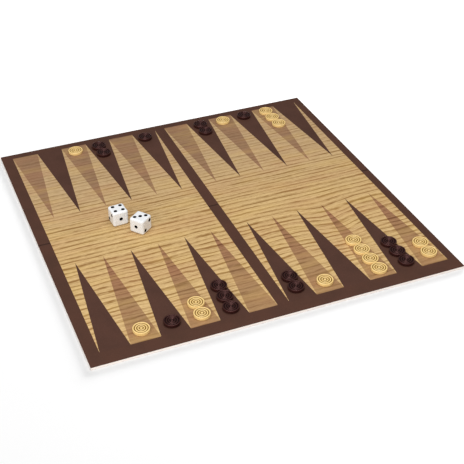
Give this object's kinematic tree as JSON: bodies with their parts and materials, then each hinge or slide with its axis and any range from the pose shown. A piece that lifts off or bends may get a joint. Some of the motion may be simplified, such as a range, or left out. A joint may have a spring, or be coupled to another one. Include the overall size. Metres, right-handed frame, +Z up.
{
  "type": "backgammon set",
  "caption": "Thin folding cardboard backgammon board laid open, with loose ringed plastic checkers set out on its points and a pair of pipped dice.",
  "frame": {"origin": "middle of the open board's footprint, on the surface it lies on", "axes": "+X along the front edge to the right, +Y from the front edge to the rear edge, +Z up out of the printed face"},
  "size_m": [0.36, 0.36, 0.0184],
  "materials": {
    "print_sheet": "satin printed and varnished paper, light wood grain with dark brown border and points",
    "core_board": "raw pale cut edge",
    "backing_paper": "plain matt paper",
    "light_checker": "moulded cream-yellow plastic",
    "dark_checker": "moulded dark brown plastic",
    "die": "polished white plastic with black pips"
  },
  "bodies": {
    "front_half": {"front_backing_paper": "backing_paper", "front_core_board": "core_board", "front_print_sheet": "print_sheet"},
    "rear_half": {"rear_backing_paper": "backing_paper", "rear_core_board": "core_board", "rear_print_sheet": "print_sheet"},
    "light_checker_01": {"light_checker_01": "light_checker"},
    "light_checker_02": {"light_checker_02": "light_checker"},
    "light_checker_03": {"light_checker_03": "light_checker"},
    "light_checker_04": {"light_checker_04": "light_checker"},
    "light_checker_05": {"light_checker_05": "light_checker"},
    "light_checker_06": {"light_checker_06": "light_checker"},
    "light_checker_07": {"light_checker_07": "light_checker"},
    "light_checker_08": {"light_checker_08": "light_checker"},
    "light_checker_09": {"light_checker_09": "light_checker"},
    "light_checker_10": {"light_checker_10": "light_checker"},
    "light_checker_11": {"light_checker_11": "light_checker"},
    "light_checker_12": {"light_checker_12": "light_checker"},
    "light_checker_13": {"light_checker_13": "light_checker"},
    "light_checker_14": {"light_checker_14": "light_checker"},
    "light_checker_15": {"light_checker_15": "light_checker"},
    "dark_checker_01": {"dark_checker_01": "dark_checker"},
    "dark_checker_02": {"dark_checker_02": "dark_checker"},
    "dark_checker_03": {"dark_checker_03": "dark_checker"},
    "dark_checker_04": {"dark_checker_04": "dark_checker"},
    "dark_checker_05": {"dark_checker_05": "dark_checker"},
    "dark_checker_06": {"dark_checker_06": "dark_checker"},
    "dark_checker_07": {"dark_checker_07": "dark_checker"},
    "dark_checker_08": {"dark_checker_08": "dark_checker"},
    "dark_checker_09": {"dark_checker_09": "dark_checker"},
    "dark_checker_10": {"dark_checker_10": "dark_checker"},
    "dark_checker_11": {"dark_checker_11": "dark_checker"},
    "dark_checker_12": {"dark_checker_12": "dark_checker"},
    "dark_checker_13": {"dark_checker_13": "dark_checker"},
    "dark_checker_14": {"dark_checker_14": "dark_checker"},
    "dark_checker_15": {"dark_checker_15": "dark_checker"},
    "left_die": {"left_die": "die"},
    "right_die": {"right_die": "die"}
  },
  "joints": [
    {"name": "board_fold", "type": "hinge", "parent": "front_half", "child": "rear_half", "pos_m": [0, 0.00325, 0.0024], "axis": [-1, 0, 0], "range_deg": [-175, 0]},
    {"name": "left_die_slide", "type": "slide", "parent": "rear_half", "child": "left_die", "axis": [-0.23, 0.9732, 0], "range_m": [0, 0.195]},
    {"name": "right_die_slide", "type": "slide", "parent": "front_half", "child": "right_die", "axis": [-1, 0, 0], "range_m": [0, 0.221]},
    {"name": "light_checker_01_lift", "type": "slide", "parent": "rear_half", "child": "light_checker_01", "axis": [0, 0, 1], "range_m": [0, 0.04]},
    {"name": "light_checker_02_lift", "type": "slide", "parent": "rear_half", "child": "light_checker_02", "axis": [0, 0, 1], "range_m": [0, 0.04]},
    {"name": "light_checker_03_lift", "type": "slide", "parent": "rear_half", "child": "light_checker_03", "axis": [0, 0, 1], "range_m": [0, 0.04]},
    {"name": "light_checker_04_lift", "type": "slide", "parent": "rear_half", "child": "light_checker_04", "axis": [0, 0, 1], "range_m": [0, 0.04]},
    {"name": "light_checker_05_lift", "type": "slide", "parent": "rear_half", "child": "light_checker_05", "axis": [0, 0, 1], "range_m": [0, 0.04]},
    {"name": "light_checker_06_lift", "type": "slide", "parent": "front_half", "child": "light_checker_06", "axis": [0, 0, 1], "range_m": [0, 0.04]},
    {"name": "light_checker_07_lift", "type": "slide", "parent": "front_half", "child": "light_checker_07", "axis": [0, 0, 1], "range_m": [0, 0.04]},
    {"name": "light_checker_08_lift", "type": "slide", "parent": "front_half", "child": "light_checker_08", "axis": [0, 0, 1], "range_m": [0, 0.04]},
    {"name": "light_checker_09_lift", "type": "slide", "parent": "front_half", "child": "light_checker_09", "axis": [0, 0, 1], "range_m": [0, 0.04]},
    {"name": "light_checker_10_lift", "type": "slide", "parent": "front_half", "child": "light_checker_10", "axis": [0, 0, 1], "range_m": [0, 0.04]},
    {"name": "light_checker_11_lift", "type": "slide", "parent": "front_half", "child": "light_checker_11", "axis": [0, 0, 1], "range_m": [0, 0.04]},
    {"name": "light_checker_12_lift", "type": "slide", "parent": "front_half", "child": "light_checker_12", "axis": [0, 0, 1], "range_m": [0, 0.04]},
    {"name": "light_checker_13_lift", "type": "slide", "parent": "front_half", "child": "light_checker_13", "axis": [0, 0, 1], "range_m": [0, 0.04]},
    {"name": "light_checker_14_lift", "type": "slide", "parent": "front_half", "child": "light_checker_14", "axis": [0, 0, 1], "range_m": [0, 0.04]},
    {"name": "light_checker_15_lift", "type": "slide", "parent": "front_half", "child": "light_checker_15", "axis": [0, 0, 1], "range_m": [0, 0.04]},
    {"name": "dark_checker_01_lift", "type": "slide", "parent": "rear_half", "child": "dark_checker_01", "axis": [0, 0, 1], "range_m": [0, 0.04]},
    {"name": "dark_checker_02_lift", "type": "slide", "parent": "rear_half", "child": "dark_checker_02", "axis": [0, 0, 1], "range_m": [0, 0.04]},
    {"name": "dark_checker_03_lift", "type": "slide", "parent": "rear_half", "child": "dark_checker_03", "axis": [0, 0, 1], "range_m": [0, 0.04]},
    {"name": "dark_checker_04_lift", "type": "slide", "parent": "rear_half", "child": "dark_checker_04", "axis": [0, 0, 1], "range_m": [0, 0.04]},
    {"name": "dark_checker_05_lift", "type": "slide", "parent": "rear_half", "child": "dark_checker_05", "axis": [0, 0, 1], "range_m": [0, 0.04]},
    {"name": "dark_checker_06_lift", "type": "slide", "parent": "rear_half", "child": "dark_checker_06", "axis": [0, 0, 1], "range_m": [0, 0.04]},
    {"name": "dark_checker_07_lift", "type": "slide", "parent": "front_half", "child": "dark_checker_07", "axis": [0, 0, 1], "range_m": [0, 0.04]},
    {"name": "dark_checker_08_lift", "type": "slide", "parent": "front_half", "child": "dark_checker_08", "axis": [0, 0, 1], "range_m": [0, 0.04]},
    {"name": "dark_checker_09_lift", "type": "slide", "parent": "front_half", "child": "dark_checker_09", "axis": [0, 0, 1], "range_m": [0, 0.04]},
    {"name": "dark_checker_10_lift", "type": "slide", "parent": "front_half", "child": "dark_checker_10", "axis": [0, 0, 1], "range_m": [0, 0.04]},
    {"name": "dark_checker_11_lift", "type": "slide", "parent": "front_half", "child": "dark_checker_11", "axis": [0, 0, 1], "range_m": [0, 0.04]},
    {"name": "dark_checker_12_lift", "type": "slide", "parent": "front_half", "child": "dark_checker_12", "axis": [0, 0, 1], "range_m": [0, 0.04]},
    {"name": "dark_checker_13_lift", "type": "slide", "parent": "front_half", "child": "dark_checker_13", "axis": [0, 0, 1], "range_m": [0, 0.04]},
    {"name": "dark_checker_14_lift", "type": "slide", "parent": "front_half", "child": "dark_checker_14", "axis": [0, 0, 1], "range_m": [0, 0.04]},
    {"name": "dark_checker_15_lift", "type": "slide", "parent": "front_half", "child": "dark_checker_15", "axis": [0, 0, 1], "range_m": [0, 0.04]}
  ],
  "couplings": [
    {"joint": "left_die_slide", "follows": "board_fold", "m_per_rad": -0.0635},
    {"joint": "right_die_slide", "follows": "board_fold", "m_per_rad": -0.072}
  ]
}
